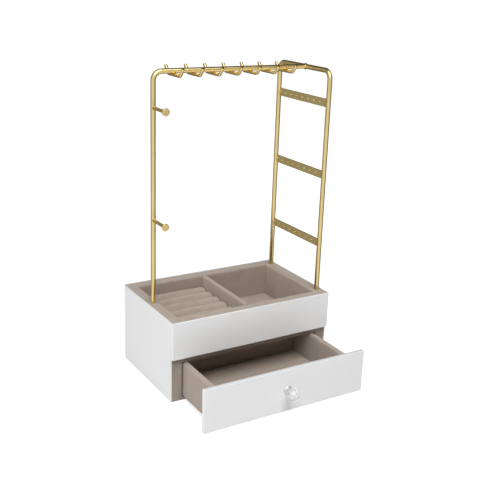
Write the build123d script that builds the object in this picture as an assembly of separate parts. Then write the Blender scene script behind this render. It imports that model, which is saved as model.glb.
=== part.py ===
from build123d import *
import os

# Jewellery box with one drawer, a lined top tray and a wire hanging frame.
# Millimetres. The origin is the middle of the underside, +Z is up and -Y is the drawer's side.
# Every piece is placed where it stands with the drawer pulled out by drawer_open.

# Box
box_width = 220.0
box_depth = 140.0
box_height = 102.0
corner_radius = 3.0
sheet_thickness = 1.0
sheet_ground_gap = 0.3
side_board_thickness = 13.0
back_board_thickness = 13.0
front_board_thickness = 10.0
plate_thickness = 4.0
plate_corner_radius = 1.0
plate_edge_radius = 0.6
plate_gap = 0.8
rim_thickness = 2.5
base_thickness = 4.0
shelf_thickness = 8.0

# Tray
divider_thickness = 6.0
divider_offset = -2.0
divider_round = 2.0
tray_pad_thickness = 2.5
pad_round = 0.8
roll_count = 6
roll_height = 32.0
roll_shoulder_drop = 7.0
roll_side_draw = 1.2
roll_shoulder_draw = 0.6
roll_end_insets = (2.6, 0.9, 0.0)
roll_end_steps = (0.0, 1.2, 3.6)
soft_gap = 0.3

# Drawer
drawer_open = 77.0
drawer_plate_height = 53.6
shelf_cover = 5.4
drawer_side_gap = 2.0
drawer_top_gap = 1.0
drawer_rear_gap = 4.0
running_gap = 0.3
drawer_wall = 7.0
drawer_front_board = 6.0
drawer_bottom_thickness = 4.0
drawer_pad_thickness = 4.0
drawer_wall_round = 2.5

# Knob
knob_collar_diameter = 11.0
knob_collar_length = 2.5
knob_sides = 10
knob_neck_diameter = 9.0
knob_girdle_diameter = 16.0
knob_table_diameter = 9.0
knob_taper_length = 8.0
knob_girdle_length = 2.0
knob_crown_length = 5.0
knob_screw_diameter = 4.0
knob_screw_engagement = 7.0
knob_screw_head_diameter = 7.5
knob_screw_head_length = 2.4
drill_spare = 1.0

# Hanging frame
frame_rise = 275.0
post_diameter = 6.0
frame_bend_radius = 10.0
post_inset = 7.5
left_post_from_front = 68.0
front_post_from_front = 17.0
back_post_from_back = 16.0
post_seat_depth = 29.0
socket_wall = 1.5
fit_gap = 0.15
weld_depth = 0.3

# Necklace hooks, strung along the top rail
hook_count = 7
hook_pitch = 25.0
first_hook_from_left_post = 26.0
hook_wire_diameter = 3.8
hook_reach = 22.0
hook_rise = 4.0
hook_floor_reach = 15.0
hook_bend_radius = 4.0

# Earring bars between the two right posts
bar_count = 3
bar_height = 10.0
bar_thickness = 1.5
first_bar_below_rail = 38.0
bar_pitch = 87.5
bar_hole_count = 7
bar_hole_pitch = 12.4
bar_hole_diameter = 2.0

# Pegs on the left post
peg_drops = (40.0, 171.0)
peg_names = ("upper", "lower")
peg_reach = 31.5
peg_rod_diameter = 4.0
peg_disc_diameter = 9.0
peg_disc_thickness = 2.0

# Places worked out from the sizes above
half_width = box_width / 2
half_depth = box_depth / 2
inner_half_width = half_width - sheet_thickness - side_board_thickness
carcass_front = -half_depth + plate_thickness
tray_front = carcass_front + front_board_thickness
tray_back = half_depth - sheet_thickness - back_board_thickness
board_top = box_height - rim_thickness
drawer_plate_top = plate_gap + drawer_plate_height
shelf_bottom = drawer_plate_top - shelf_cover
shelf_top = shelf_bottom + shelf_thickness
divider_left = divider_offset - divider_thickness / 2
divider_right = divider_offset + divider_thickness / 2
rail_z = box_height + frame_rise
left_post_x = -half_width + post_inset
right_post_x = half_width - post_inset
left_post_y = -half_depth + left_post_from_front
front_post_y = -half_depth + front_post_from_front
back_post_y = half_depth - back_post_from_back
socket_diameter = post_diameter + 2 * fit_gap + 2 * socket_wall
socket_bottom = board_top - post_seat_depth - socket_wall
post_bottom = socket_bottom + socket_wall
posts = ((left_post_x, left_post_y), (right_post_x, front_post_y), (right_post_x, back_post_y))
drawer_plate_front = -half_depth - drawer_open
drawer_front = drawer_plate_front + plate_thickness
drawer_half_width = inner_half_width - drawer_side_gap
drawer_bottom = base_thickness + running_gap
drawer_top = shelf_bottom - drawer_top_gap
drawer_back = tray_back - drawer_rear_gap - drawer_open
drawer_floor = drawer_bottom + drawer_bottom_thickness
knob_z = plate_gap + drawer_plate_height / 2


def block(x0, x1, y0, y1, z0, z1):
    """A board between two corners."""
    middle = Pos((x0 + x1) / 2, (y0 + y1) / 2, (z0 + z1) / 2)
    return middle * Box(x1 - x0, y1 - y0, z1 - z0)


def upright(diameter, x, y, z0, z1):
    """A round bar or drill that stands along Z."""
    return Pos(x, y, (z0 + z1) / 2) * Cylinder(diameter / 2, z1 - z0)


def along_y(diameter, x, z, y0, y1):
    """A round bar or drill that lies along Y."""
    return Pos(x, (y0 + y1) / 2, z) * Rot(90, 0, 0) * Cylinder(diameter / 2, y1 - y0)


def along_x(diameter, y, z, x0, x1):
    """A round bar that lies along X."""
    return Pos((x0 + x1) / 2, y, z) * Rot(0, 90, 0) * Cylinder(diameter / 2, x1 - x0)


def bent_rod(points, radius, diameter):
    """A rod of one diameter bent at each inner point."""
    path = FilletPolyline(*points, radius=radius)
    section = Plane(origin=path @ 0, z_dir=path % 0) * Circle(diameter / 2)
    return sweep(section, path=path)


def inside_sheet(z0, z1):
    """The space inside the bent sheet between two heights, with its two back corners rounded."""
    half = half_width - sheet_thickness
    space = block(-half, half, -half_depth, half_depth - sheet_thickness, z0, z1)
    return fillet(space.edges().filter_by(Axis.Z).sort_by(Axis.Y)[-2:], corner_radius - sheet_thickness)


def base_panel():
    half = half_width - sheet_thickness
    panel = block(-half, half, carcass_front, half_depth - sheet_thickness, 0, base_thickness)
    return panel & inside_sheet(0, base_thickness)


def side_board(side, board_posts):
    """One side of the box, drilled from above for the posts that it carries."""
    inner = side * inner_half_width
    outer = side * (half_width - sheet_thickness)
    rear = half_depth - sheet_thickness
    board = block(min(inner, outer), max(inner, outer), carcass_front, rear, base_thickness, board_top)
    board = board & inside_sheet(base_thickness, board_top)
    for x, y in board_posts:
        board -= upright(socket_diameter + 2 * fit_gap, x, y, socket_bottom, board_top + drill_spare)
    return board


def back_board():
    rear = half_depth - sheet_thickness
    return block(-inner_half_width, inner_half_width, tray_back, rear, base_thickness, board_top)


def tray_shelf():
    return block(-inner_half_width, inner_half_width, carcass_front, tray_back, shelf_bottom, shelf_top)


def front_inner_board():
    return block(-inner_half_width, inner_half_width, carcass_front, tray_front, shelf_top, board_top)


def rounded_plate(x0, x1, y0, y1, z0, z1, round_all):
    """A front plate with rounded upright edges, rounded corners and a soft front edge."""
    plate = block(x0, x1, y0, y1, z0, z1)
    ends = plate.edges().filter_by(Axis.Y).sort_by(Axis.Z)
    corners = ends if round_all else ends[:2]
    plate = fillet(corners, plate_corner_radius)
    front_face = plate.faces().sort_by(Axis.Y)[0]
    return fillet(front_face.edges(), plate_edge_radius)


def upper_front_plate():
    """The fixed white plate over the drawer, rebated at its top for the lined rim."""
    bottom = drawer_plate_top + plate_gap
    plate = rounded_plate(-half_width, half_width, -half_depth, carcass_front, bottom, box_height, False)
    rebate_half = half_width - sheet_thickness
    rebate_front = -half_depth + sheet_thickness
    rebate = block(-rebate_half, rebate_half, rebate_front, carcass_front, board_top, box_height)
    return plate - rebate


def outer_sheet():
    """The glossy sheet round the left side, the back and the right side, in one bent piece."""
    outer = block(-half_width, half_width, carcass_front, half_depth, sheet_ground_gap, box_height)
    outer = fillet(outer.edges().filter_by(Axis.Z).sort_by(Axis.Y)[-2:], corner_radius)
    return outer - inside_sheet(sheet_ground_gap, box_height)


def rim_strip(corners, strip_posts):
    """One mitred strip of the lined rim, drilled for the posts that pass through it."""
    outline = make_face(Polyline(*corners, close=True))
    strip = Pos(0, 0, board_top) * extrude(outline, amount=rim_thickness, dir=(0, 0, 1))
    strip = strip & inside_sheet(board_top, box_height)
    for x, y in strip_posts:
        strip -= upright(post_diameter + 2 * fit_gap, x, y, board_top - drill_spare, box_height + drill_spare)
    return strip


def rim_strips():
    """The four strips round the tray, by name."""
    out_x = half_width - sheet_thickness
    out_y = half_depth - sheet_thickness
    in_x = inner_half_width
    front_left = (-out_x, -out_y)
    front_right = (out_x, -out_y)
    back_left = (-out_x, out_y)
    back_right = (out_x, out_y)
    tray_front_left = (-in_x, tray_front)
    tray_front_right = (in_x, tray_front)
    tray_back_left = (-in_x, tray_back)
    tray_back_right = (in_x, tray_back)
    strips = {
        "rim_strip_front": rim_strip((front_left, front_right, tray_front_right, tray_front_left), ()),
        "rim_strip_back": rim_strip((back_left, back_right, tray_back_right, tray_back_left), ()),
        "rim_strip_left": rim_strip((front_left, tray_front_left, tray_back_left, back_left), posts[:1]),
        "rim_strip_right": rim_strip((front_right, tray_front_right, tray_back_right, back_right), posts[1:]),
    }
    return strips


def tray_divider():
    divider = block(divider_left, divider_right, tray_front, tray_back, shelf_top, box_height)
    crest = divider.edges().filter_by(Axis.Y).sort_by(Axis.Z)[-2:]
    return fillet(crest, divider_round)


def tray_pad():
    pad = block(
        divider_right + soft_gap,
        inner_half_width - soft_gap,
        tray_front + soft_gap,
        tray_back - soft_gap,
        shelf_top,
        shelf_top + tray_pad_thickness,
    )
    return fillet(pad.faces().sort_by(Axis.Z)[-1].edges(), pad_round)


def roll_section(x, width, inset):
    """A ring roll's outline at one x: a flat foot, bowed sides and a crown."""
    foot = width / 2 - roll_side_draw - inset
    belly = width / 2 - inset
    shoulder = width / 2 - roll_shoulder_draw - inset
    shoulder_z = roll_height - roll_shoulder_drop - inset
    outline = [
        Line((-foot, 0), (foot, 0)),
        ThreePointArc((foot, 0), (belly, shoulder_z / 2), (shoulder, shoulder_z)),
        ThreePointArc((shoulder, shoulder_z), (0, roll_height - inset), (-shoulder, shoulder_z)),
        ThreePointArc((-shoulder, shoulder_z), (-belly, shoulder_z / 2), (-foot, 0)),
    ]
    plane = Plane(origin=(x, 0, 0), x_dir=(0, 1, 0), z_dir=(1, 0, 0))
    return plane * make_face(outline)


def ring_roll(y):
    """One velvet roll along X, standing on the shelf, with softened ends."""
    pitch = (tray_back - tray_front) / roll_count
    width = pitch - soft_gap
    left = -inner_half_width + soft_gap
    right = divider_left - soft_gap
    near_left = [(left + step, inset) for step, inset in zip(roll_end_steps, roll_end_insets)]
    near_right = [(right - step, inset) for step, inset in zip(roll_end_steps, roll_end_insets)]
    sections = [roll_section(x, width, inset) for x, inset in near_left + near_right[::-1]]
    return Pos(0, y, shelf_top) * loft(sections, ruled=True)


def ring_rolls():
    """The rolls from the back of the compartment to the front, by name."""
    pitch = (tray_back - tray_front) / roll_count
    return {
        f"ring_roll_{number + 1}": ring_roll(tray_back - pitch * (number + 0.5))
        for number in range(roll_count)
    }


def post_sockets():
    """Three closed sleeves in the side boards, one under each post."""
    sleeves = []
    for x, y in posts:
        sleeve = upright(socket_diameter, x, y, socket_bottom, board_top)
        sleeves.append(sleeve - upright(post_diameter + 2 * fit_gap, x, y, post_bottom, board_top + drill_spare))
    return Compound(children=sleeves)


def right_frame():
    """The U-shaped rod on the right side: front post, top rail and back post."""
    return bent_rod(
        [
            (right_post_x, front_post_y, post_bottom),
            (right_post_x, front_post_y, rail_z),
            (right_post_x, back_post_y, rail_z),
            (right_post_x, back_post_y, post_bottom),
        ],
        frame_bend_radius,
        post_diameter,
    )


def left_post_and_rail():
    """The L-shaped rod: the left post and the rail that butts against the right frame."""
    rod = bent_rod(
        [
            (left_post_x, left_post_y, post_bottom),
            (left_post_x, left_post_y, rail_z),
            (right_post_x, left_post_y, rail_z),
        ],
        frame_bend_radius,
        post_diameter,
    )
    return rod - along_y(post_diameter, right_post_x, rail_z, front_post_y, back_post_y)


def necklace_hook(x):
    """A double-ended wire hook, bedded under the rail and turned up at both ends."""
    floor = rail_z - post_diameter / 2 - hook_wire_diameter / 2 + weld_depth
    hook = bent_rod(
        [
            (x, left_post_y - hook_reach, rail_z + hook_rise),
            (x, left_post_y - hook_floor_reach, floor),
            (x, left_post_y + hook_floor_reach, floor),
            (x, left_post_y + hook_reach, rail_z + hook_rise),
        ],
        hook_bend_radius,
        hook_wire_diameter,
    )
    bed = along_x(post_diameter, left_post_y, rail_z, x - hook_wire_diameter, x + hook_wire_diameter)
    return hook - bed


def necklace_hooks():
    first = left_post_x + first_hook_from_left_post
    return {
        f"necklace_hook_{number + 1}": necklace_hook(first + number * hook_pitch)
        for number in range(hook_count)
    }


def earring_bar(z):
    """A flat bar between the right posts, pierced by one row of holes."""
    x = right_post_x
    half = bar_thickness / 2
    bar = block(x - half, x + half, front_post_y, back_post_y, z - bar_height / 2, z + bar_height / 2)
    for y in (front_post_y, back_post_y):
        bar -= upright(post_diameter, x, y, z - bar_height, z + bar_height)
    middle = (front_post_y + back_post_y) / 2
    first = middle - bar_hole_pitch * (bar_hole_count - 1) / 2
    for number in range(bar_hole_count):
        y = first + number * bar_hole_pitch
        bar -= along_x(bar_hole_diameter, y, z, x - bar_thickness, x + bar_thickness)
    return bar


def earring_bars():
    return {
        f"earring_bar_{number + 1}": earring_bar(rail_z - first_bar_below_rail - number * bar_pitch)
        for number in range(bar_count)
    }


def pegs():
    """The two pegs on the left post, each a rod with a disc on its end."""
    pieces = {}
    for name, drop in zip(peg_names, peg_drops):
        z = rail_z - drop
        tip = left_post_y - peg_reach
        rod = along_y(peg_rod_diameter, left_post_x, z, tip, left_post_y)
        pieces[f"peg_rod_{name}"] = rod - upright(
            post_diameter, left_post_x, left_post_y, z - post_diameter, z + post_diameter
        )
        pieces[f"peg_disc_{name}"] = along_y(
            peg_disc_diameter, left_post_x, z, tip - peg_disc_thickness, tip
        )
    return pieces


def knob_drill(y0, y1):
    """The clearance hole of the knob's screw."""
    return along_y(knob_screw_diameter + 2 * fit_gap, 0, knob_z, y0, y1)


def drawer_plate():
    """The white drawer front, as wide as the box."""
    plate = rounded_plate(
        -half_width,
        half_width,
        drawer_plate_front,
        drawer_front,
        plate_gap,
        drawer_plate_top,
        True,
    )
    return plate - knob_drill(drawer_plate_front - drill_spare, drawer_front + drill_spare)


def drawer_inner_front():
    side = drawer_half_width - drawer_wall
    rear = drawer_front + drawer_front_board
    board = block(-side, side, drawer_front, rear, drawer_bottom, drawer_top)
    return board - knob_drill(drawer_front - drill_spare, rear + drill_spare)


def drawer_side(side):
    """One lined side wall of the drawer, with a rounded top."""
    outer = side * drawer_half_width
    inner = side * (drawer_half_width - drawer_wall)
    wall = block(min(outer, inner), max(outer, inner), drawer_front, drawer_back, drawer_bottom, drawer_top)
    return fillet(wall.edges().filter_by(Axis.Y).sort_by(Axis.Z)[-2:], drawer_wall_round)


def drawer_back_wall():
    side = drawer_half_width - drawer_wall
    wall = block(-side, side, drawer_back - drawer_wall, drawer_back, drawer_bottom, drawer_top)
    return fillet(wall.edges().filter_by(Axis.X).sort_by(Axis.Z)[-2:], drawer_wall_round)


def drawer_bottom_board():
    side = drawer_half_width - drawer_wall
    front = drawer_front + drawer_front_board
    return block(-side, side, front, drawer_back - drawer_wall, drawer_bottom, drawer_floor)


def drawer_pad():
    side = drawer_half_width - drawer_wall - soft_gap
    pad = block(
        -side,
        side,
        drawer_front + drawer_front_board + soft_gap,
        drawer_back - drawer_wall - soft_gap,
        drawer_floor,
        drawer_floor + drawer_pad_thickness,
    )
    return fillet(pad.faces().sort_by(Axis.Z)[-1].edges(), pad_round)


def knob_collar():
    front = drawer_plate_front - knob_collar_length
    collar = along_y(knob_collar_diameter, 0, knob_z, front, drawer_plate_front)
    return collar - knob_drill(front - drill_spare, drawer_plate_front + drill_spare)


def knob_crystal():
    """The clear faceted head: a taper, a girdle and a crown, all with flat sides."""
    start = drawer_plate_front - knob_collar_length
    stations = (
        (0, knob_neck_diameter),
        (knob_taper_length, knob_girdle_diameter),
        (knob_taper_length + knob_girdle_length, knob_girdle_diameter),
        (knob_taper_length + knob_girdle_length + knob_crown_length, knob_table_diameter),
    )
    sections = []
    for distance, diameter in stations:
        plane = Plane(origin=(0, start - distance, knob_z), x_dir=(1, 0, 0), z_dir=(0, -1, 0))
        sections.append(plane * RegularPolygon(diameter / 2, knob_sides))
    head = loft(sections, ruled=True)
    return head - knob_drill(start - knob_screw_engagement - fit_gap, start + drill_spare)


def knob_screw():
    """The screw from inside the drawer that holds collar and crystal."""
    seat = drawer_front + drawer_front_board
    tip = drawer_plate_front - knob_collar_length - knob_screw_engagement
    shank = along_y(knob_screw_diameter, 0, knob_z, tip, seat)
    head = along_y(knob_screw_head_diameter, 0, knob_z, seat, seat + knob_screw_head_length)
    return shank + head


def all_pieces():
    """Every piece by its node name."""
    pieces = {
        "base_panel": base_panel(),
        "left_side_board": side_board(-1, posts[:1]),
        "right_side_board": side_board(1, posts[1:]),
        "back_board": back_board(),
        "tray_shelf": tray_shelf(),
        "front_inner_board": front_inner_board(),
        "upper_front_plate": upper_front_plate(),
        "outer_sheet": outer_sheet(),
        "tray_divider": tray_divider(),
        "tray_pad": tray_pad(),
        "post_sockets": post_sockets(),
        "left_post_and_rail": left_post_and_rail(),
        "right_frame": right_frame(),
        "drawer_plate": drawer_plate(),
        "drawer_inner_front": drawer_inner_front(),
        "drawer_left_side": drawer_side(-1),
        "drawer_right_side": drawer_side(1),
        "drawer_back_wall": drawer_back_wall(),
        "drawer_bottom_board": drawer_bottom_board(),
        "drawer_pad": drawer_pad(),
        "knob_collar": knob_collar(),
        "knob_crystal": knob_crystal(),
        "knob_screw": knob_screw(),
    }
    pieces.update(rim_strips())
    pieces.update(ring_rolls())
    pieces.update(necklace_hooks())
    pieces.update(earring_bars())
    pieces.update(pegs())
    return pieces


os.makedirs("parts", exist_ok=True)
for node, shape in all_pieces().items():
    export_step(shape, f"parts/{node}.step")
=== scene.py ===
import math

import bmesh
import bpy
from bpy.props import FloatProperty, FloatVectorProperty, IntProperty, PointerProperty
from mathutils import Matrix, Vector


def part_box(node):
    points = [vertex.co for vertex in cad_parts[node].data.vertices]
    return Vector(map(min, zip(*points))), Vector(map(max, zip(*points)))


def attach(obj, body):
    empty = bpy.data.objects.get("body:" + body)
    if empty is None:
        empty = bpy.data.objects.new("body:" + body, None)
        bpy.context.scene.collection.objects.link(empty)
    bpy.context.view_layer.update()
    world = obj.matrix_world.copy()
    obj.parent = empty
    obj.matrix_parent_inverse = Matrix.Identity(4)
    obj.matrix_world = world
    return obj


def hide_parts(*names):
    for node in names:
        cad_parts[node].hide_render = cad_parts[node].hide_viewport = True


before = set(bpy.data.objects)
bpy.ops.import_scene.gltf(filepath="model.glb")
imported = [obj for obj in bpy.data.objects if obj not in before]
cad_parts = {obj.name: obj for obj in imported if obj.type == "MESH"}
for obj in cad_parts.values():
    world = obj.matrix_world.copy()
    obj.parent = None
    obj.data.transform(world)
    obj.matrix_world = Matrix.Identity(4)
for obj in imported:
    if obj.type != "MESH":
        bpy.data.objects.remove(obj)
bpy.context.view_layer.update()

bl_info = {
    "name": "Jewellery box with hanging frame",
    "version": (1, 0, 0),
    "blender": (4, 5, 0),
    "location": "View3D > Sidebar > Jewellery box",
    "description": "Dresses the jewellery box in velvet, brass, glossy white and crystal",
    "category": "Add Mesh",
}

PHOTO_SIDE = 492
SENSOR = 36.0
MM = 0.001
UP = Vector((0, 0, 1))
FRONT = Vector((0, -1, 0))
# Two places nearer than this are one
TOUCH = 0.02 * MM
# Cosines over which an edge runs along an axis, and under which it runs across
ALONG = 0.9
ACROSS = 0.1
# Where the values of a noise mostly lie
NOISE_SPAN = (0.3, 0.7)


# Settings

def length(description, metres):
    return FloatProperty(description=description, default=metres, unit="LENGTH", precision=5)


def angle(description, degrees):
    turn = math.radians(degrees)
    return FloatProperty(description=description, default=turn, subtype="ANGLE", unit="ROTATION")


def share(description, value):
    return FloatProperty(description=description, default=value, min=0, max=1, subtype="FACTOR")


def power(description, watts):
    return FloatProperty(description=description, default=watts, min=0, unit="POWER")


def level(description, value):
    return FloatProperty(description=description, default=value, min=0)


def count(description, value):
    return IntProperty(description=description, default=value, min=1)


def colour(description, value):
    return FloatVectorProperty(description=description, default=value, min=0, max=1, subtype="COLOR")


def place(description, value):
    return FloatVectorProperty(description=description, default=value, subtype="TRANSLATION")


def span(description, value):
    return FloatVectorProperty(description=description, default=value, size=2, min=-1, max=8)


def sizes(description, value):
    return FloatVectorProperty(description=description, default=value, unit="LENGTH", precision=5)


class StudioSettings(bpy.types.PropertyGroup):
    camera_place: place("Where the camera stands", (-0.49959, -0.85060, 0.48848))
    heading: angle("How far the camera is turned from +Y towards +X", 31.776)
    dip: angle("How far the camera looks down", 18.438)
    roll: angle("How far the camera is rolled to the left", 2.057)
    focal_pixels: level("Focal length in pixels of the photograph", 833.06)
    floor_size: length("Side of the square floor", 8.0)
    floor_gap: length("How far the floor lies under the box", 0.05 * MM)
    floor_colour: colour("Colour of the floor", (0.6, 0.6, 0.6))
    floor_glow: share("White of the floor that no shadow takes away", 0.8)
    floor_shadow: share("White of the floor that the shadow takes away", 0.3)
    floor_fade: span("Metres from the middle where the floor turns white", (0.25, 0.9))
    soft_span: span("Heights where the walls' light turns to the ceiling's", (0.3, 0.8))
    wall_level: level("Soft light from the room's walls", 0.01)
    ceiling_level: level("Soft light from the room's ceiling", 0.02)
    gloss_dark: level("What gloss shows of the room behind the box", 0.12)
    gloss_front: level("What gloss shows of the room in front", 0.85)
    gloss_left: level("What gloss shows of the room on the left", 0.4)
    gloss_lamp: level("What gloss shows of the soft lamp overhead and in front", 2.8)
    gloss_floor: level("What gloss shows of the lit floor in front", 0.95)
    front_span: span("Cosines where the bright front starts and is full", (-0.1, 0.85))
    left_span: span("Cosines where the bright left starts and is full", (0.5, 1.0))
    floor_span: span("Cosines where the bright floor starts and is full", (0.15, 0.7))
    lamp_span: span("Cosines where the bright lamp starts and is full", (0.72, 0.92))
    floor_drop: level("How steeply the bright floor lies below the front", 1.73)
    lamp_towards: place("Where gloss sees the bright lamp", (-0.15, -0.6, 0.78))
    target: place("What the lamps point at", (0, -0.03, 0.14))
    top_place: place("Where the top lamp hangs", (-0.2, -0.75, 1.75))
    back_place: place("Where the back lamp hangs", (0, 0.8, 1.7))
    left_place: place("Where the left lamp stands", (-1.8, -0.4, 0.5))
    left_back_place: place("Where the left back lamp stands", (-1.5, 0.5, 0.8))
    right_place: place("Where the right lamp stands", (1.8, -0.6, 0.6))
    lamp_size: length("Side of each square lamp", 1.2)
    top_power: power("Soft lamp overhead and a little in front", 41.0)
    back_power: power("Soft lamp overhead and behind", 7.0)
    left_power: power("Soft lamp low on the left", 12.8)
    left_back_power: power("Soft lamp on the left and behind", 6.0)
    right_power: power("Soft lamp low on the right", 4.0)


class VelvetSettings(bpy.types.PropertyGroup):
    light: colour("Colour of the pile where it lies towards the light", (0.362, 0.302, 0.256))
    dark: colour("Colour of the pile where it lies away", (0.274, 0.221, 0.18))
    tint: colour("Tint of the velvet's sheen", (0.93, 0.935, 0.94))
    # Painted light: these two scale the velvet's colour, lighter on standing faces and a little darker on
    # level faces
    standing: level("How light the pile is on faces that stand", 1.1)
    lying: level("How light the pile is on faces that lie level", 0.96)
    pile: length("How far the pile stands proud of its board", 0.2 * MM)
    cloth: length("Thickness of the lining with its pile", 0.5 * MM)
    rim_round: length("Radius of the rim's inner edge", 2.6 * MM)
    edge_round: length("Radius of the rim's outer edge", 0.8 * MM)
    divider_drop: length("How far the divider's top lies under the rim's", 0.3 * MM)
    divider_gap: length("Seam between the divider and the tray's ends", 1.0 * MM)
    divider_round: length("Radius of the divider's top edges", 2.2 * MM)
    wall_round: length("Radius of the drawer walls' top edges", 2.6 * MM)
    board_round: length("Radius of a wrapped board's other edges", 0.7 * MM)
    unevenness: length("How far the wrapped cloth wanders", 0.22 * MM)
    wander: length("Size of the cloth's uneven patches", 14 * MM)


class PadSettings(bpy.types.PropertyGroup):
    pad_round: length("Radius of a floor pad's edges", 1.1 * MM)
    crown: length("How far a floor pad rises in its middle", 0.5 * MM)
    roll_slack: length("How much smaller a ring roll starts than its space", 0.7 * MM)
    roll_crown: length("Radius of a ring roll's rounded top", 7.0 * MM)
    roll_end: length("Radius of a ring roll's ends", 2.8 * MM)
    voxel: length("Mesh size that the rolls are simulated at", 1.9 * MM)
    pressure: level("Stuffing pressure of the rolls", 4.0)
    cap: length("The farthest that a point may swell", 0.9 * MM)
    foot: length("Height of a roll's foot, which the simulation holds still", 2 * MM)
    roll_uneven: level("How far a roll wanders, in shares of a board", 1.6)
    roll_patch: level("Size of a roll's patches, in shares of a board's", 0.8)
    pad_uneven: level("How far a pad wanders, in shares of a board", 0.8)
    frames: count("Length of the simulation", 20)


class BrassSettings(bpy.types.PropertyGroup):
    light: colour("Colour of the plating", (0.87, 0.69, 0.32))
    dark: colour("Colour of the plating's duller patches", (0.82, 0.635, 0.27))
    edge: colour("Tint of the plating seen edge on", (0.77, 0.57, 0.26))
    sides: count("Flat sides round a rod", 32)
    bend_steps: count("Steps in a rod's bend", 10)
    hook_sides: count("Flat sides round a hook", 24)
    hook_steps: count("Steps in a hook's bend", 8)
    bend_radius: length("Radius of the frame's bends, at the rod's middle", 10 * MM)
    hook_bend: length("Radius of a hook's bends, at the wire's middle", 4 * MM)
    hook_reach: length("From the rail's middle to a hook's tip", 22 * MM)
    hook_rise: length("From the rail's middle up to a hook's tip", 4 * MM)
    hook_floor: length("From the rail's middle to a hook's bend", 15 * MM)
    tip_round: length("Radius of a hook's ends", 0.25 * MM)
    bar_edge: length("Rounding of an earring bar's edges", 0.2 * MM)
    hole_edge: length("Rounding of the earring holes' rims", 0.6 * MM)
    hole_diameter: length("Diameter of the earring holes", 2 * MM)
    hole_pitch: length("From one earring hole to the next", 12.4 * MM)
    hole_count: count("Earring holes in a bar", 7)
    disc_edge: length("Rounding of a peg's disc", 0.45 * MM)
    disc_inset: share("Share of a peg's disc outside its middle face", 0.3)
    bead: length("Thickness of a peg's weld", 0.45 * MM)
    bead_rough: share("How uneven a weld round a rod is", 0.35)
    spot_rough: share("How uneven a spot weld is", 0.2)
    rail_bead: length("Thickness of the weld at the rail's end", 1.08 * MM)
    hook_weld: sizes("Half sizes of the weld on a hook", (2.07 * MM, 1.44 * MM, 0.585 * MM))
    bar_weld: sizes("Half sizes of the weld on a bar's end", (2.3 * MM, 1.9 * MM, 2.4 * MM))


class PanelSettings(bpy.types.PropertyGroup):
    white: colour("Colour of the glossy panels", (0.869, 0.872, 0.876))
    # Painted shade: the grey given to the sheets' level faces, their top and bottom edges
    level_face_painted_shade: colour("Colour of the sheets' cut edges", (0.5, 0.5, 0.5))
    gloss: share("Roughness of the glossy panels", 0.16)


class KnobSettings(bpy.types.PropertyGroup):
    sides: count("Facets round the crystal", 10)
    neck: length("Diameter where the crystal meets its collar", 9 * MM)
    girdle: length("Diameter of the crystal's girdle", 16 * MM)
    table: length("Diameter of the crystal's front facet", 9 * MM)
    taper: length("From the collar to the girdle", 8 * MM)
    belt: length("Height of the girdle", 1.6 * MM)
    crown: length("From the girdle to the table", 5.4 * MM)
    shoulder: share("Where on its taper the crystal has its lower row of corners", 0.6)
    shoulder_width: share("Share of the girdle's growth reached there", 0.66)
    brow: share("Where on its crown the crystal has its upper row of corners", 0.5)
    brow_width: share("Share of the girdle's diameter kept there", 0.83)
    collar_sides: count("Sides round the collar", 40)
    collar_base: share("Share of the collar's length before its step", 0.4)
    collar_step: share("Share of the collar's radius that its step takes", 0.12)
    collar_lip: length("Rounding of the collar's rims", 0.275 * MM)


class JewelleryBoxSettings(bpy.types.PropertyGroup):
    studio: PointerProperty(type=StudioSettings)
    velvet: PointerProperty(type=VelvetSettings)
    pads: PointerProperty(type=PadSettings)
    brass: PointerProperty(type=BrassSettings)
    panels: PointerProperty(type=PanelSettings)
    knob: PointerProperty(type=KnobSettings)


def settings():
    return bpy.context.scene.jewellery_box


# Modelling

def deselect_all():
    if bpy.context.mode != "OBJECT":
        bpy.ops.object.mode_set(mode="OBJECT")
    bpy.ops.object.select_all(action="DESELECT")


def take_up(name):
    """Names the primitive just added, moves its place into its mesh and opens it in edit mode."""
    piece = bpy.context.object
    piece.name = name
    piece.data.name = name
    bpy.ops.object.transform_apply(location=True, rotation=True, scale=True)
    bpy.ops.object.mode_set(mode="EDIT")
    return piece


def select_faces():
    bpy.ops.mesh.select_mode(type="FACE")
    bpy.ops.mesh.select_all(action="SELECT")


def add_block(name, low, high):
    """A block between two corners, open in edit mode."""
    deselect_all()
    bpy.ops.mesh.primitive_cube_add(size=1, location=(low + high) / 2, scale=high - low)
    return take_up(name)


def add_sheet(name, low, high, z):
    """A level rectangle between two corners, open in edit mode."""
    deselect_all()
    middle = Vector(((low.x + high.x) / 2, (low.y + high.y) / 2, z))
    bpy.ops.mesh.primitive_plane_add(size=1, location=middle)
    sheet = take_up(name)
    bpy.ops.mesh.select_all(action="SELECT")
    bpy.ops.transform.resize(value=(high.x - low.x, high.y - low.y, 1), center_override=middle)
    return sheet


def add_disc(name, centre, direction, radius, sides):
    """A flat disc that faces a direction, open in edit mode with its face selected."""
    deselect_all()
    turn = direction.to_track_quat("Z", "Y").to_euler()
    bpy.ops.mesh.primitive_circle_add(
        vertices=sides, radius=radius, fill_type="NGON", location=centre, rotation=turn
    )
    disc = take_up(name)
    select_faces()
    return disc


def choose(piece, test):
    """Selects, in edit mode, the edges whose middle and direction pass a test."""
    bpy.ops.mesh.select_mode(type="EDGE")
    bpy.ops.mesh.select_all(action="DESELECT")
    mesh = bmesh.from_edit_mesh(piece.data)
    for edge in mesh.edges:
        first, last = (vertex.co for vertex in edge.verts)
        edge.select_set(test((first + last) / 2, (last - first).normalized()))
    bmesh.update_edit_mesh(piece.data)


def near(a, b):
    return abs(a - b) < TOUCH


def bevel(radius, segments):
    bpy.ops.mesh.bevel(offset=radius, segments=segments, affect="EDGES")


def extrude(move):
    bpy.ops.mesh.extrude_region_move(TRANSFORM_OT_translate={"value": move})


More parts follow.
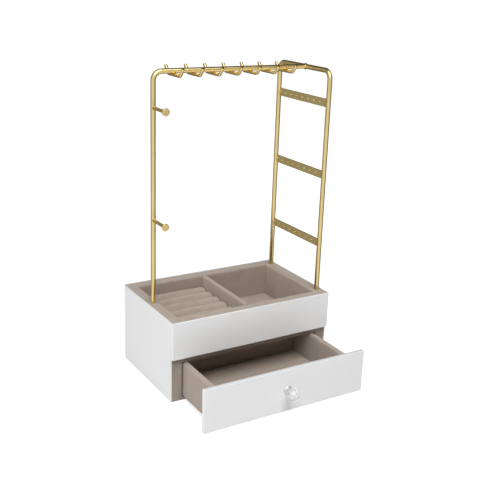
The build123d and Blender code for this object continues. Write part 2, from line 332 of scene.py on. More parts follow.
def close(piece, smooth=40):
    """Ends a piece's modelling: doubles merged, faces outwards, shading smooth but over sharp edges."""
    bpy.ops.mesh.select_all(action="SELECT")
    bpy.ops.mesh.remove_doubles(threshold=1e-6)
    bpy.ops.mesh.normals_make_consistent(inside=False)
    bpy.ops.object.mode_set(mode="OBJECT")
    bpy.ops.object.shade_smooth_by_angle(angle=math.radians(smooth))
    return piece


def modify(piece, kind, **values):
    """Adds a modifier and applies it at once."""
    modifier = piece.modifiers.new(kind.lower(), kind)
    for name, value in values.items():
        setattr(modifier, name, value)
    bpy.context.view_layer.objects.active = piece
    bpy.ops.object.modifier_apply(modifier=modifier.name)


def divide(piece, levels):
    modify(piece, "SUBSURF", subdivision_type="SIMPLE", levels=levels, render_levels=levels)


def soften(piece, amount, size):
    """Lets a wrapped surface wander a little, as cloth over a board does."""
    texture = bpy.data.textures.new(piece.name, "CLOUDS")
    texture.noise_scale = size
    texture.noise_depth = 1
    modify(piece, "DISPLACE", texture=texture, strength=amount, mid_level=0.5, texture_coords="LOCAL")
    bpy.data.textures.remove(texture)


def dress(piece, body, slot, *nodes):
    """Gives a finished piece its body, its slot and finish, and the nodes that it stands for."""
    piece.data.materials.clear()
    piece.data.materials.append(finish_of(slot))
    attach(piece, body)
    if nodes:
        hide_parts(*nodes)


def paint(slot, *nodes):
    """Gives model nodes that stay as they are their finish."""
    for node in nodes:
        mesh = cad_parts[node].data
        mesh.materials.clear()
        mesh.materials.append(finish_of(slot))


def copy_of(piece, name, shift):
    """A copy with its own mesh, moved in its mesh."""
    copied = piece.copy()
    copied.data = piece.data.copy()
    copied.name = name
    copied.data.name = name
    copied.data.transform(Matrix.Translation(shift))
    bpy.context.scene.collection.objects.link(copied)
    return copied


def repeated(pattern, name, node):
    """Each repeat of a pattern, the last one first: its number, its piece and its shift."""
    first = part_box(f"{node}_1")[0]
    last = sum(known.startswith(f"{node}_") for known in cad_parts)
    for number in range(last, 0, -1):
        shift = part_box(f"{node}_{number}")[0] - first
        piece = pattern if number == 1 else copy_of(pattern, f"{name}_{number}", shift)
        yield number, piece, shift


def bent_rod(name, points, bend_radius, diameter, sides, steps):
    """A round rod through the points, spun round a bend at each inner one, open in edit mode."""
    points = [Vector(point) for point in points]
    rod = add_disc(name, points[0], points[1] - points[0], diameter / 2, sides)
    reached = points[0]
    for before, corner, after in zip(points, points[1:], points[2:]):
        arriving = (corner - before).normalized()
        leaving = (after - corner).normalized()
        turn = arriving.angle(leaving)
        setback = bend_radius * math.tan(turn / 2)
        bend_start = corner - arriving * setback
        extrude(bend_start - reached)
        axis = leaving.cross(arriving).normalized()
        centre = bend_start + arriving.cross(axis) * bend_radius
        bpy.ops.mesh.spin(steps=steps, angle=turn, center=centre, axis=axis)
        reached = corner + leaving * setback
    extrude(points[-1] - reached)
    return rod


def round_tips(piece, radius, segments):
    """Rounds the rims of a rod's flat ends, which are its only many-sided faces."""
    bpy.ops.mesh.select_mode(type="FACE")
    bpy.ops.mesh.select_all(action="DESELECT")
    mesh = bmesh.from_edit_mesh(piece.data)
    for face in mesh.faces:
        face.select_set(len(face.verts) > 4)
    bmesh.update_edit_mesh(piece.data)
    bpy.ops.mesh.region_to_loop()
    bevel(radius, segments)


def saddle_bead(name, centre, along, branch, main_radius, branch_radius, bead, seed):
    """A weld round the foot of a branch rod on a main rod, a little uneven as a hand-laid one is."""
    deselect_all()
    bpy.ops.mesh.primitive_torus_add(
        major_segments=32, minor_segments=8, major_radius=branch_radius, minor_radius=bead
    )
    weld = take_up(name)
    across = branch.cross(along)
    mesh = bmesh.from_edit_mesh(weld.data)
    for vertex in mesh.verts:
        x, y, z = vertex.co
        side = min(abs(y), main_radius)
        stand = math.sqrt(max(main_radius**2 - side**2, 0))
        vertex.co = centre + along * x + across * y + branch * (z + stand)
    bmesh.update_edit_mesh(weld.data)
    bpy.ops.mesh.select_all(action="SELECT")
    rough = bead * settings().brass.bead_rough
    bpy.ops.transform.vertex_random(offset=rough, uniform=1, normal=0, seed=seed)
    bpy.ops.mesh.vertices_smooth(factor=0.5, repeat=1)
    return close(weld, smooth=180)


def blob(name, centre, radii, seed):
    """A small spot weld, flattened and uneven."""
    deselect_all()
    bpy.ops.mesh.primitive_ico_sphere_add(subdivisions=3, radius=1, location=centre, scale=radii)
    weld = take_up(name)
    bpy.ops.mesh.select_all(action="SELECT")
    rough = radii[0] * settings().brass.spot_rough
    bpy.ops.transform.vertex_random(offset=rough, uniform=1, normal=0, seed=seed)
    bpy.ops.mesh.vertices_smooth(factor=0.5, repeat=2)
    return close(weld, smooth=180)


# Finishes

class Nodes:
    """Adds nodes to one node tree and links them."""

    def __init__(self, tree):
        self.tree = tree

    def node(self, kind, inputs=None, **values):
        made = self.tree.nodes.new(kind)
        for name, value in values.items():
            setattr(made, name, value)
        for socket, value in (inputs or {}).items():
            self.put(made, socket, value)
        return made

    def put(self, node, socket, value):
        if isinstance(value, bpy.types.NodeSocket):
            self.tree.links.new(value, node.inputs[socket])
        else:
            node.inputs[socket].default_value = value

    def place(self, scale=(1, 1, 1)):
        """Places on the piece, stretched along its axes."""
        found = self.node("ShaderNodeTexCoord").outputs["Object"]
        return self.node("ShaderNodeMapping", {"Vector": found, "Scale": scale}).outputs["Vector"]

    def noise(self, where, scale, detail=2.0, roughness=0.5):
        inputs = {"Vector": where, "Scale": scale, "Detail": detail, "Roughness": roughness}
        return self.node("ShaderNodeTexNoise", inputs).outputs["Fac"]

    def mixed(self, first, second, share):
        """A number between two numbers."""
        kept = self.node("ShaderNodeMath", {0: first, 1: 1 - share}, operation="MULTIPLY").outputs[0]
        added = self.node("ShaderNodeMath", {0: second, 1: share, 2: kept}, operation="MULTIPLY_ADD")
        return added.outputs[0]

    def spread(self, value, low, high, to_low, to_high, easing="LINEAR"):
        inputs = {"Value": value, "From Min": low, "From Max": high, "To Min": to_low, "To Max": to_high}
        return self.node("ShaderNodeMapRange", inputs, interpolation_type=easing).outputs["Result"]

    def varied(self, noise, low, high):
        """A number that wanders between two with a noise."""
        return self.spread(noise, *NOISE_SPAN, low, high)

    def eased(self, value, low, high, to_low, to_high):
        return self.spread(value, low, high, to_low, to_high, easing="SMOOTHSTEP")

    def facing(self, direction, towards):
        """1 where a direction points the given way, 0 square to it and -1 away from it."""
        inputs = {0: direction, 1: towards}
        return self.node("ShaderNodeVectorMath", inputs, operation="DOT_PRODUCT").outputs["Value"]

    def lying(self):
        """1 on faces that lie level, 0 on faces that stand."""
        normal = self.node("ShaderNodeTexCoord").outputs["Normal"]
        height = self.node("ShaderNodeSeparateXYZ", {"Vector": normal}).outputs["Z"]
        return self.node("ShaderNodeMath", {0: height}, operation="ABSOLUTE").outputs[0]

    def scaled(self, tone, factor):
        """A colour made lighter or darker."""
        inputs = {0: tone, "Scale": factor}
        return self.node("ShaderNodeVectorMath", inputs, operation="SCALE").outputs["Vector"]

    def blended(self, share, first, second):
        """A colour between two colours."""
        made = self.node("ShaderNodeMix", {0: share, 6: first, 7: second}, data_type="RGBA")
        return made.outputs[2]

    def straight_rays(self):
        """1 for what the camera sees directly or through clear glass, and 0 for the rest."""
        seen = self.node("ShaderNodeLightPath").outputs
        rays = {0: seen["Is Camera Ray"], 1: seen["Is Transmission Ray"]}
        return self.node("ShaderNodeMath", rays, use_clamp=True).outputs[0]

    def ramp(self, value, *stops):
        made = self.node("ShaderNodeValToRGB", {"Fac": value})
        ramp = made.color_ramp
        while len(ramp.elements) < len(stops):
            ramp.elements.new(0.5)
        for element, (position, tone) in zip(ramp.elements, stops):
            element.position = position
            element.color = (*tone, 1)
        return made.outputs["Color"]

    def bump(self, height, distance, strength, normal=None):
        inputs = {"Height": height, "Distance": distance, "Strength": strength}
        if normal is not None:
            inputs["Normal"] = normal
        return self.node("ShaderNodeBump", inputs).outputs["Normal"]


class Finish(Nodes):
    """A material under way."""

    def __init__(self, name):
        self.material = bpy.data.materials.new(name)
        self.material.use_nodes = True
        super().__init__(self.material.node_tree)
        self.shader = self.tree.nodes["Principled BSDF"]

    def set(self, **values):
        for name, value in values.items():
            self.put(self.shader, name.replace("_", " "), value)


def velvet_finish():
    """Short taupe velvet: fine pile, brushed patches, a soft sheen, and painted light that makes standing
    faces lighter and level faces a little darker.
    """
    tones = settings().velvet
    finish = Finish("velvet")
    where = finish.place()
    pile = finish.noise(where, scale=2600, detail=2, roughness=0.6)
    nap = finish.noise(where, scale=70, detail=3, roughness=0.55)
    brushed = finish.noise(finish.place((1, 0.25, 0.25)), scale=420, detail=2)
    tone = finish.mixed(finish.mixed(nap, brushed, 0.4), pile, 0.4)
    cloth = finish.ramp(tone, (0.3, tones.dark), (0.7, tones.light))
    # Painted light and shade: the pile's colour is made lighter on standing faces and darker on level ones
    painted_light_by_facing = finish.spread(finish.lying(), 0.2, 0.8, tones.standing, tones.lying)
    finish.set(
        Base_Color=finish.scaled(cloth, painted_light_by_facing),
        Roughness=0.92,
        Specular_IOR_Level=0.12,
        Sheen_Weight=0.56,
        Sheen_Roughness=0.42,
        Sheen_Tint=(*tones.tint, 1),
        Normal=finish.bump(pile, 0.35 * MM, 0.5, finish.bump(nap, 0.8 * MM, 0.25)),
    )
    return finish.material


def white_finish():
    """Glossy white sheet with a faint ripple and a fine haze, and a painted shade that greys its level
    faces, the sheets' top and bottom edges.
    """
    tones = settings().panels
    finish = Finish("white_gloss")
    where = finish.place()
    ripple = finish.noise(where, scale=35, detail=1)
    haze = finish.noise(where, scale=900, detail=3, roughness=0.6)
    tone = finish.noise(where, scale=14)
    warm = [part * factor for part, factor in zip(tones.white, (1.0, 0.997, 0.992))]
    # Painted shade: faces that lie level, the sheets' top and bottom edges, turn grey
    level_face_shade_mask = finish.eased(finish.lying(), 0.75, 0.95, 0.0, 1.0)
    sheet = finish.ramp(tone, (0.3, tones.white), (0.75, warm))
    finish.set(
        Base_Color=finish.blended(level_face_shade_mask, sheet, (*tones.level_face_painted_shade, 1)),
        Roughness=finish.varied(haze, tones.gloss - 0.03, tones.gloss + 0.05),
        Specular_IOR_Level=0.45,
        Coat_Weight=0.2,
        Coat_Roughness=0.06,
        Normal=finish.bump(ripple, 0.4 * MM, 0.06),
    )
    return finish.material


def brass_finish():
    """Pale brass plate: satin, with duller patches and fine drawing marks."""
    tones = settings().brass
    finish = Finish("brass_wire")
    where = finish.place()
    patches = finish.noise(where, scale=45)
    grain = finish.noise(where, scale=3200)
    finish.set(
        Base_Color=finish.ramp(patches, (0.3, tones.dark), (0.65, tones.light)),
        Metallic=1.0,
        Specular_Tint=(*tones.edge, 1),
        Roughness=finish.varied(finish.mixed(patches, grain, 0.5), 0.16, 0.22),
        Normal=finish.bump(grain, 0.01 * MM, 0.05),
    )
    return finish.material


def crystal_finish():
    """Clear cut acrylic, with the faintest ripple of its polish."""
    finish = Finish("crystal")
    ripple = finish.noise(finish.place(), scale=220)
    finish.set(
        Base_Color=finish.ramp(ripple, (0.3, (0.87, 0.875, 0.88)), (0.7, (0.9, 0.9, 0.9))),
        Roughness=finish.varied(ripple, 0.12, 0.2),
        IOR=1.49,
        Transmission_Weight=0.68,
        Alpha=0.6,
        Normal=finish.bump(ripple, 0.02 * MM, 0.05),
    )
    return finish.material


def metal_finish(name, tone, low, high):
    """A plain metal whose gloss varies a little."""
    finish = Finish(name)
    grain = finish.noise(finish.place(), scale=700, detail=3, roughness=0.6)
    worn = [part * 0.9 for part in tone]
    finish.set(
        Base_Color=finish.ramp(grain, (0.3, worn), (0.7, tone)),
        Metallic=1.0,
        Roughness=finish.varied(grain, low, high),
        Normal=finish.bump(grain, 0.03 * MM, 0.08),
    )
    return finish.material


def chrome_finish():
    return metal_finish("chrome", (0.82, 0.82, 0.82), 0.3, 0.38)


def steel_finish():
    return metal_finish("socket_steel", (0.56, 0.56, 0.57), 0.28, 0.4)


FINISHES = {
    "velvet": velvet_finish,
    "white_gloss": white_finish,
    "brass_wire": brass_finish,
    "crystal": crystal_finish,
    "chrome": chrome_finish,
    "socket_steel": steel_finish,
}


def finish_of(slot):
    """A slot's finish, made when it is first asked for. Velvet boards share the loose velvet's."""
    name = slot.removesuffix("_board")
    found = bpy.data.materials.get(name)
    if found is None or "made_here" not in found:
        found = FINISHES[name]()
        found.name = name
        found["made_here"] = True
    return found


# Operators

class StudioOperator(bpy.types.Operator):
    """Lays the floor, lights the room and sets up the camera"""

    bl_idname = "jewellery_box.studio"
    bl_label = "Studio"

    def execute(self, context):
        studio = settings().studio
        self.floor(studio)
        self.room(studio)
        self.lamps(studio)
        self.camera(studio)
        context.scene.view_settings.view_transform = "Standard"
        return {"FINISHED"}

    def floor(self, studio):
        half = studio.floor_size / 2
        low, high = Vector((-half, -half, 0)), Vector((half, half, 0))
        floor = add_sheet("floor", low, high, -studio.floor_gap)
        bpy.ops.object.mode_set(mode="OBJECT")
        finish = Finish("floor")
        plain = finish.node("ShaderNodeBsdfDiffuse", {"Color": (*studio.floor_colour, 1)})
        shaded = finish.node("ShaderNodeBsdfDiffuse", {"Color": (*[studio.floor_shadow] * 3, 1)})
        away = finish.node("ShaderNodeVectorMath", {0: finish.place()}, operation="LENGTH").outputs["Value"]
        faded = finish.eased(away, *studio.floor_fade, studio.floor_glow, 1.0)
        glow = finish.node("ShaderNodeEmission", {"Strength": faded})
        white = finish.node("ShaderNodeAddShader", {0: shaded.outputs[0], 1: glow.outputs[0]})
        shares = {0: finish.straight_rays(), 1: plain.outputs[0], 2: white.outputs[0]}
        mixed = finish.node("ShaderNodeMixShader", shares)
        finish.put(finish.tree.nodes["Material Output"], "Surface", mixed.outputs[0])
        floor.data.materials.append(finish.material)
        floor.visible_glossy = False

    def room(self, studio):
        """White where camera and glass see it straight, softly lit for the rest.

        Gloss sees a dark room with four soft bright places: in front, on the left, on the floor in
        front, and high in front where the lamp hangs.
        """
        world = bpy.data.worlds.new("room")
        bpy.context.scene.world = world
        world.use_nodes = True
        nodes = Nodes(world.node_tree)
        direction = nodes.node("ShaderNodeTexCoord").outputs["Generated"]
        height = nodes.node("ShaderNodeSeparateXYZ", {"Vector": direction}).outputs["Z"]
        soft = nodes.eased(height, *studio.soft_span, studio.wall_level, studio.ceiling_level)
        dark = studio.gloss_dark
        front = Vector((-math.sin(studio.heading), -math.cos(studio.heading), 0))
        left = Vector((-math.cos(studio.heading), math.sin(studio.heading), 0))
        bright_places = (
            (front, studio.front_span, studio.gloss_front),
            (left, studio.left_span, studio.gloss_left),
            ((front - studio.floor_drop * UP).normalized(), studio.floor_span, studio.gloss_floor),
            (Vector(studio.lamp_towards).normalized(), studio.lamp_span, studio.gloss_lamp),
        )
        gloss = dark
        for towards, cosines, full in bright_places:
            lobe = nodes.eased(nodes.facing(direction, towards), *cosines, dark, full)
            gloss = nodes.node("ShaderNodeMath", {0: gloss, 1: lobe}, operation="MAXIMUM").outputs[0]
        is_gloss = nodes.node("ShaderNodeLightPath").outputs["Is Glossy Ray"]
        lit = nodes.node("ShaderNodeMix", {0: is_gloss, 2: soft, 3: gloss}).outputs[0]
        shown = nodes.node("ShaderNodeMix", {0: nodes.straight_rays(), 2: lit, 3: 1.0}).outputs[0]
        nodes.put(world.node_tree.nodes["Background"], "Color", (1, 1, 1, 1))
        nodes.put(world.node_tree.nodes["Background"], "Strength", shown)

    def lamps(self, studio):
        for name in ("top", "back", "left", "left_back", "right"):
            spot = Vector(getattr(studio, f"{name}_place"))
            data = bpy.data.lights.new(f"{name}_lamp", "AREA")
            data.size = studio.lamp_size
            data.energy = getattr(studio, f"{name}_power")
            lamp = bpy.data.objects.new(f"{name}_lamp", data)
            lamp.location = spot
            lamp.rotation_euler = (Vector(studio.target) - spot).to_track_quat("-Z", "Y").to_euler()
            lamp.visible_glossy = False
            bpy.context.scene.collection.objects.link(lamp)

    def camera(self, studio):
        level = math.cos(studio.dip)
        forward = Vector(
            (math.sin(studio.heading) * level, math.cos(studio.heading) * level, -math.sin(studio.dip))
        )
        right = forward.cross(UP).normalized()
        upward = right.cross(forward)
        cosine, sine = math.cos(studio.roll), math.sin(studio.roll)
        rolled_right = right * cosine + upward * sine
        rolled_up = upward * cosine - right * sine
        data = bpy.data.cameras.new("camera")
        data.sensor_width = SENSOR
        data.lens = studio.focal_pixels / PHOTO_SIDE * SENSOR
        data.clip_start = 0.05
        data.clip_end = 50
        camera = bpy.data.objects.new("camera", data)
        matrix = camera.matrix_world.copy()
        for column, axis in enumerate((rolled_right, rolled_up, -forward, Vector(studio.camera_place))):
            matrix.col[column][:3] = axis
        camera.matrix_world = matrix
        bpy.context.scene.collection.objects.link(camera)
        bpy.context.scene.camera = camera


class PanelsOperator(bpy.types.Operator):
    """Finishes the white panels and the wrapped boards that keep the model's own shape"""

    bl_idname = "jewellery_box.panels"
    bl_label = "Panels and boards"

    def execute(self, context):
        paint("white_gloss", "upper_front_plate", "drawer_plate", "outer_sheet")
        boards = ("base_panel", "left_side_board", "right_side_board", "back_board", "tray_shelf")
        paint("velvet", *boards, "front_inner_board", "drawer_bottom_board")
        paint("socket_steel", "post_sockets")
        paint("chrome", "knob_screw")
        return {"FINISHED"}


class LiningOperator(bpy.types.Operator):
    """Covers the rim and the tray's walls and floor with one velvet lining, and wraps the divider"""

    bl_idname = "jewellery_box.lining"
    bl_label = "Rim and tray lining"

    def execute(self, context):
        self.lining()
        self.divider()
        return {"FINISHED"}

    def lining(self):
        velvet = settings().velvet
        strips = ("rim_strip_front", "rim_strip_back", "rim_strip_left", "rim_strip_right")
        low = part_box("rim_strip_left")[0]
        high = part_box("rim_strip_right")[1]
        inner_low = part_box("left_side_board")[1].x
        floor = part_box("tray_shelf")[1].z + velvet.pile
        width = inner_low - low.x + velvet.pile
        cover = add_sheet("tray_lining", low, high, high.z)
        select_faces()
        bpy.ops.mesh.inset(thickness=width, depth=0)
        extrude((0, 0, floor - high.z))
        inset = width - TOUCH

        def on_outline(middle, run):
            across = near(middle.x, low.x) or near(middle.x, high.x)
            along = near(middle.y, low.y) or near(middle.y, high.y)
            return (across or along) and near(middle.z, high.z)

        def on_opening(middle, run):
            across = low.x + inset < middle.x < high.x - inset
            along = low.y + inset < middle.y < high.y - inset
            return across and along and near(middle.z, high.z)

        choose(cover, on_outline)
        bpy.ops.mesh.extrude_edges_move(TRANSFORM_OT_translate={"value": (0, 0, low.z - high.z)})
        choose(cover, on_outline)
        bevel(velvet.edge_round, segments=3)
        choose(cover, on_opening)
        bevel(velvet.rim_round, segments=5)
        close(cover)
        divide(cover, levels=3)
        soften(cover, velvet.unevenness, velvet.wander)
        modify(cover, "SOLIDIFY", thickness=velvet.cloth, offset=-1)
        dress(cover, "box", "velvet", *strips)

    def divider(self):
        velvet = settings().velvet
        low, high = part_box("tray_divider")
        low = low + Vector((0, velvet.divider_gap, 0))
        high = high - Vector((0, velvet.divider_gap, velvet.divider_drop))
        wrapped = wrap_board("velvet_divider", low, high, velvet.divider_round)
        dress(wrapped, "box", "velvet_board", "tray_divider")


def wrap_board(name, low, high, top_round):
    """A board wrapped in velvet: its long top edges are rounder than the rest."""
    velvet = settings().velvet
    board = add_block(name, low, high)
    long_way = Vector((1, 0, 0)) if high.x - low.x > high.y - low.y else Vector((0, 1, 0))
    choose(board, lambda middle, run: near(middle.z, high.z) and abs(run.dot(long_way)) > ALONG)
    bevel(top_round, segments=5)
    choose(board, lambda middle, run: abs(run.z) > ALONG or near(middle.z, low.z))
    bevel(velvet.board_round, segments=2)
    close(board)
    divide(board, levels=3)
    soften(board, velvet.unevenness, velvet.wander)
    return board


class RollsOperator(bpy.types.Operator):
    """Makes one stuffed ring roll and copies it for the others"""

    bl_idname = "jewellery_box.rolls"
    bl_label = "Ring rolls"

    def execute(self, context):
        velvet, pads = settings().velvet, settings().pads
        pattern = self.roll(*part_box("ring_roll_1"))
        for number, roll, _ in repeated(pattern, "velvet_roll", "ring_roll"):
            soften(roll, velvet.unevenness * pads.roll_uneven, velvet.wander * pads.roll_patch)
            dress(roll, "box", "velvet", f"ring_roll_{number}")
        return {"FINISHED"}

    def roll(self, low, high):
        pads = settings().pads
        slack = Vector((pads.roll_slack / 2, pads.roll_slack, 0))
        start_high = high - slack - Vector((0, 0, pads.roll_slack))
        roll = add_block("velvet_roll_1", low + slack, start_high)
        choose(roll, lambda middle, run: near(middle.z, start_high.z) and abs(run.x) > ALONG)
        bevel(pads.roll_crown, segments=8)
        choose(roll, lambda middle, run: abs(run.x) < ACROSS and not near(middle.z, low.z))
        bevel(pads.roll_end, segments=4)
        close(roll)
        modify(roll, "REMESH", mode="VOXEL", voxel_size=pads.voxel)
        stuff(roll, low, pads)
        modify(roll, "SUBSURF", levels=1, render_levels=1)
        bpy.ops.object.shade_smooth()
        return roll


def stuff(piece, low, pads):
    """Swells a roll by cloth simulation, held at its foot, no farther than the cap."""
    held = piece.vertex_groups.new(name="foot")
    held.add([v.index for v in piece.data.vertices if v.co.z < low.z + pads.foot], 1.0, "REPLACE")
    rest = [vertex.co.copy() for vertex in piece.data.vertices]
    cloth = piece.modifiers.new("stuffing", "CLOTH")
    cloth.settings.use_pressure = True
    cloth.settings.uniform_pressure_force = pads.pressure
    cloth.settings.vertex_group_mass = "foot"
    cloth.settings.effector_weights.gravity = 0
    cloth.point_cache.frame_start = 1
    cloth.point_cache.frame_end = pads.frames
    for number in range(1, pads.frames + 1):
        bpy.context.scene.frame_set(number)
    bpy.context.view_layer.objects.active = piece
    bpy.ops.object.modifier_apply(modifier=cloth.name)
    bpy.context.scene.frame_set(1)
    for vertex, start in zip(piece.data.vertices, rest):
        move = vertex.co - start
        if move.length > pads.cap:
            vertex.co = start + move.normalized() * pads.cap
    piece.vertex_groups.clear()


class PadsOperator(bpy.types.Operator):
    """Lays the padded velvet floors of the tray and the drawer"""

    bl_idname = "jewellery_box.pads"
    bl_label = "Floor pads"

    def execute(self, context):
        self.pad("tray_floor_pad", "tray_pad", "box")
        self.pad("drawer_floor_pad", "drawer_pad", "drawer")
        return {"FINISHED"}

    def pad(self, name, node, body):
        pads = settings().pads
        velvet = settings().velvet
        low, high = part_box(node)
        top = high.z - pads.crown / 2
        pad = add_block(name, low, Vector((high.x, high.y, top)))
        choose(pad, lambda middle, run: near(middle.z, top))
        bevel(pads.pad_round, segments=4)
        close(pad)
        divide(pad, levels=5)
        middle, half = (low + high) / 2, (high - low) / 2
        for vertex in pad.data.vertices:
            if not near(vertex.co.z, low.z):
                across = 1 - ((vertex.co.x - middle.x) / half.x) ** 2
                along = 1 - ((vertex.co.y - middle.y) / half.y) ** 2
                vertex.co.z += pads.crown * (max(across, 0) * max(along, 0)) ** 0.5
        soften(pad, velvet.unevenness * pads.pad_uneven, velvet.wander)
        dress(pad, body, "velvet", node)


class DrawerOperator(bpy.types.Operator):
    """Wraps the drawer's four walls in velvet"""

    bl_idname = "jewellery_box.drawer"
    bl_label = "Drawer walls"

    def execute(self, context):
        velvet = settings().velvet
        walls = {
            "velvet_left_wall": "drawer_left_side",
            "velvet_right_wall": "drawer_right_side",
            "velvet_back_wall": "drawer_back_wall",
            "velvet_front_wall": "drawer_inner_front",
        }
        for name, node in walls.items():
            wall = wrap_board(name, *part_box(node), velvet.wall_round)
            dress(wall, "drawer", "velvet_board", node)
        return {"FINISHED"}


class FrameOperator(bpy.types.Operator):
    """Bends the two brass rods of the hanging frame and welds them together"""

    bl_idname = "jewellery_box.hanging_frame"
    bl_label = "Hanging frame"

    def execute(self, context):
        brass = settings().brass
        right_low, right_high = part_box("right_frame")
        left_low, left_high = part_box("left_post_and_rail")
        diameter = right_high.x - right_low.x
        radius = diameter / 2
        right_x = right_low.x + radius
        top = right_high.z - radius
        foot = right_low.z
        front, back = right_low.y + radius, right_high.y - radius
        left_x, left_y = left_low.x + radius, (left_low.y + left_high.y) / 2
        rods = {
            "right_frame": (
                (right_x, front, foot),
                (right_x, front, top),
                (right_x, back, top),
                (right_x, back, foot),
            ),
            "left_post_and_rail": ((left_x, left_y, foot), (left_x, left_y, top), (right_x, left_y, top)),
        }
        for node, points in rods.items():
            name = f"brass_{node}"
            rod = bent_rod(name, points, brass.bend_radius, diameter, brass.sides, brass.bend_steps)
            dress(close(rod), "box", "brass_wire", node)
        meeting = Vector((right_x, left_y, top))
        along, branch = Vector((0, 1, 0)), Vector((-1, 0, 0))
        weld = saddle_bead("rail_weld", meeting, along, branch, radius, radius, brass.rail_bead, seed=3)
        dress(weld, "box", "brass_wire")
        return {"FINISHED"}


class HooksOperator(bpy.types.Operator):
    """Bends one double-ended necklace hook and copies it along the rail"""

    bl_idname = "jewellery_box.hooks"
    bl_label = "Necklace hooks"

    def execute(self, context):
        brass = settings().brass
        low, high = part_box("necklace_hook_1")
        rail_low, rail_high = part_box("left_post_and_rail")
        diameter = high.x - low.x
        rail_y = (rail_low.y + rail_high.y) / 2
        post_radius = (rail_high.y - rail_low.y) / 2
        tip_z = rail_high.z - post_radius + brass.hook_rise
        x, floor = (low.x + high.x) / 2, low.z + diameter / 2
        points = [
            (x, rail_y - brass.hook_reach, tip_z),
            (x, rail_y - brass.hook_floor, floor),
            (x, rail_y + brass.hook_floor, floor),
            (x, rail_y + brass.hook_reach, tip_z),
        ]
        shape = (brass.hook_bend, diameter, brass.hook_sides, brass.hook_steps)
        pattern = bent_rod("brass_hook_1", points, *shape)
        round_tips(pattern, brass.tip_round, segments=3)
        close(pattern)
        for number, hook, shift in repeated(pattern, "brass_hook", "necklace_hook"):
            dress(hook, "box", "brass_wire", f"necklace_hook_{number}")
            spot = Vector((x, rail_y, floor + diameter / 2)) + shift
            weld = blob(f"hook_weld_{number}", spot, brass.hook_weld, seed=number)
            dress(weld, "box", "brass_wire")
        return {"FINISHED"}


class BarsOperator(bpy.types.Operator):
    """Cuts one pierced earring bar, copies it and welds the bars to the right posts"""

    bl_idname = "jewellery_box.bars"
    bl_label = "Earring bars"

    def execute(self, context):
        low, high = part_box("earring_bar_1")
        post_low, post_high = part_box("right_frame")
        diameter = post_high.x - post_low.x
        ends = {"front": post_low.y + diameter, "back": post_high.y - diameter}
        pattern = self.bar(low, high)
        for number, bar, shift in repeated(pattern, "brass_bar", "earring_bar"):
            dress(bar, "box", "brass_wire", f"earring_bar_{number}")
            spot = (low + high) / 2 + shift
            for end, spot.y in ends.items():
                name = f"bar_weld_{number}_{end}"
                weld = blob(name, spot, settings().brass.bar_weld, seed=number * 7)
                dress(weld, "box", "brass_wire")
        return {"FINISHED"}

    def bar(self, low, high):
        brass = settings().brass
        bar = add_block("brass_bar_1", low, high)
        close(bar)
        cutters = []
        middle = (low + high) / 2
        radius = brass.hole_diameter / 2
        half = (brass.hole_count - 1) / 2
        steps = [(number - half) * brass.hole_pitch for number in range(brass.hole_count)]
        holes = [middle + Vector((0, step, 0)) for step in steps]
        for hole in holes:
            deselect_all()
            bpy.ops.mesh.primitive_cylinder_add(
                vertices=24,
                radius=radius,
                depth=(high.x - low.x) * 3,
                location=hole,
                rotation=(0, math.pi / 2, 0),
            )
            cutters.append(bpy.context.object)
        for cutter in cutters:
            modify(bar, "BOOLEAN", operation="DIFFERENCE", solver="EXACT", object=cutter)
            bpy.data.objects.remove(cutter)
        deselect_all()
        bar.select_set(True)
        bpy.context.view_layer.objects.active = bar
        bpy.ops.object.mode_set(mode="EDIT")

        def on_face(spot):
            return near(spot.x, low.x) or near(spot.x, high.x)

        def at_rim(spot, run):
            return on_face(spot) and any(near((spot - hole).yz.length, radius) for hole in holes)

        def at_border(spot, run):
            return on_face(spot) and (near(spot.z, low.z) or near(spot.z, high.z))

        choose(bar, at_rim)
        bevel(brass.hole_edge, segments=3)
        choose(bar, at_border)
        bevel(brass.bar_edge, segments=2)
        close(bar, smooth=35)
        modify(bar, "WEIGHTED_NORMAL", keep_sharp=True)
        return bar


class PegsOperator(bpy.types.Operator):
    """Turns the two pegs on the left post, each a rod with a disc on its end"""

    bl_idname = "jewellery_box.pegs"
    bl_label = "Pegs"

    def execute(self, context):
        brass = settings().brass
        for level in ("upper", "lower"):
            rod_low, rod_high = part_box(f"peg_rod_{level}")
            disc_low, disc_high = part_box(f"peg_disc_{level}")
            post_low, post_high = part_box("left_post_and_rail")
            middle = (disc_low + disc_high) / 2
            post_y = (post_low.y + post_high.y) / 2
            rod_radius = (rod_high.x - rod_low.x) / 2
            disc_radius = (disc_high.x - disc_low.x) / 2
            root = Vector((middle.x, post_y, middle.z))
            peg = add_disc(f"brass_peg_{level}", root, FRONT, rod_radius, brass.sides)
            extrude((0, disc_high.y - post_y, 0))
            extrude((0, 0, 0))
            growth = disc_radius / rod_radius
            bpy.ops.transform.resize(value=(growth, 1, growth), center_override=middle)
            extrude((0, disc_low.y - disc_high.y, 0))
            bpy.ops.mesh.inset(thickness=disc_radius * brass.disc_inset, depth=0)
            edge_middle = disc_radius * math.cos(math.pi / brass.sides)

            def on_rim(spot, run):
                away = (spot - middle).xz.length
                return near(away, edge_middle) and abs(run.y) < ACROSS

            choose(peg, on_rim)
            bevel(brass.disc_edge, segments=3)
            close(peg)
            nodes = (f"peg_rod_{level}", f"peg_disc_{level}")
            dress(peg, "box", "brass_wire", *nodes)
            name = f"peg_weld_{level}"
            post_radius = (post_high.y - post_low.y) / 2
            weld = saddle_bead(name, root, UP, FRONT, post_radius, rod_radius, brass.bead, seed=5)
            dress(weld, "box", "brass_wire")
        return {"FINISHED"}


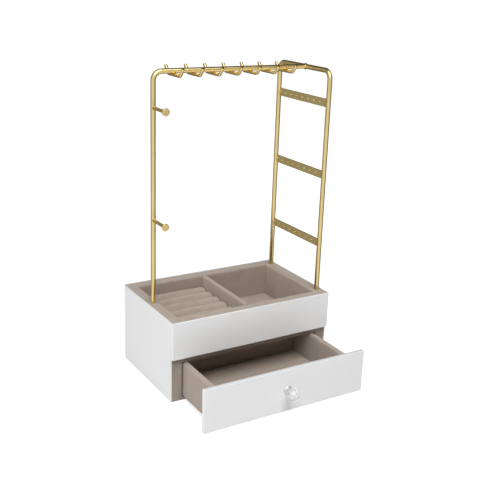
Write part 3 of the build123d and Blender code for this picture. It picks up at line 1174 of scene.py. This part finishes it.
class KnobOperator(bpy.types.Operator):
    """Cuts the crystal knob and turns its collar"""

    bl_idname = "jewellery_box.knob"
    bl_label = "Crystal knob"

    def execute(self, context):
        self.crystal()
        self.collar()
        return {"FINISHED"}

    def crystal(self):
        knob = settings().knob
        low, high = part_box("knob_crystal")
        centre = (low + high) / 2
        start = Vector((centre.x, high.y, centre.z))
        step = math.pi / knob.sides
        crystal = add_disc("crystal_head", start, FRONT, knob.neck / 2, knob.sides)
        shoulder = knob.neck + (knob.girdle - knob.neck) * knob.shoulder_width
        crown_start = knob.taper + knob.belt
        stations = (
            (knob.taper * knob.shoulder, shoulder, step),
            (knob.taper, knob.girdle, step),
            (crown_start, knob.girdle, 0),
            (crown_start + knob.crown * knob.brow, knob.girdle * knob.brow_width, step),
            (crown_start + knob.crown, knob.table, step),
        )
        reached, width = 0, knob.neck
        for distance, diameter, turn in stations:
            extrude((0, reached - distance, 0))
            spot = start + FRONT * distance
            growth = diameter / width
            bpy.ops.transform.resize(value=(growth, 1, growth), center_override=spot)
            if turn:
                bpy.ops.transform.rotate(value=turn, orient_axis="Y", center_override=spot)
            reached, width = distance, diameter
        bpy.ops.mesh.select_all(action="SELECT")
        bpy.ops.mesh.quads_convert_to_tris(quad_method="SHORTEST_DIAGONAL")
        bpy.ops.mesh.normals_make_consistent(inside=False)
        bpy.ops.object.mode_set(mode="OBJECT")
        dress(crystal, "drawer", "crystal", "knob_crystal")

    def collar(self):
        knob = settings().knob
        low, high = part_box("knob_collar")
        centre = (low + high) / 2
        back = Vector((centre.x, high.y, centre.z))
        radius = (high.x - low.x) / 2
        depth = high.y - low.y
        collar = add_disc("chrome_collar", back, FRONT, radius, knob.collar_sides)
        extrude((0, -depth * knob.collar_base, 0))
        bpy.ops.mesh.inset(thickness=radius * knob.collar_step, depth=0)
        extrude((0, -depth * (1 - knob.collar_base), 0))
        choose(collar, lambda spot, run: not near(spot.y, back.y) and abs(run.y) < ACROSS)
        bevel(knob.collar_lip, segments=3)
        close(collar, smooth=60)
        dress(collar, "drawer", "chrome", "knob_collar")


OPERATORS = (
    StudioOperator,
    PanelsOperator,
    LiningOperator,
    RollsOperator,
    PadsOperator,
    DrawerOperator,
    FrameOperator,
    HooksOperator,
    BarsOperator,
    PegsOperator,
    KnobOperator,
)


class JewelleryBoxPanel(bpy.types.Panel):
    """Lists the settings and the pieces of the jewellery box"""

    bl_idname = "VIEW3D_PT_jewellery_box"
    bl_label = "Jewellery box"
    bl_space_type = "VIEW_3D"
    bl_region_type = "UI"
    bl_category = "Jewellery box"

    def draw(self, context):
        layout = self.layout
        for operator in OPERATORS:
            layout.operator(operator.bl_idname)
        groups = context.scene.jewellery_box
        for name in ("studio", "velvet", "pads", "brass", "panels", "knob"):
            column = layout.box().column()
            column.label(text=name.capitalize())
            group = getattr(groups, name)
            for setting in group.__annotations__:
                column.prop(group, setting, text=setting.replace("_", " ").capitalize())


CLASSES = (
    StudioSettings,
    VelvetSettings,
    PadSettings,
    BrassSettings,
    PanelSettings,
    KnobSettings,
    JewelleryBoxSettings,
    *OPERATORS,
    JewelleryBoxPanel,
)


def register():
    for item in CLASSES:
        bpy.utils.register_class(item)
    bpy.types.Scene.jewellery_box = PointerProperty(type=JewelleryBoxSettings)


def unregister():
    del bpy.types.Scene.jewellery_box
    for item in reversed(CLASSES):
        bpy.utils.unregister_class(item)


def main():
    """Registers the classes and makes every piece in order."""
    register()
    for operator in OPERATORS:
        group, name = operator.bl_idname.split(".")
        getattr(getattr(bpy.ops, group), name)()
    deselect_all()


if __name__ == "__main__":
    main()
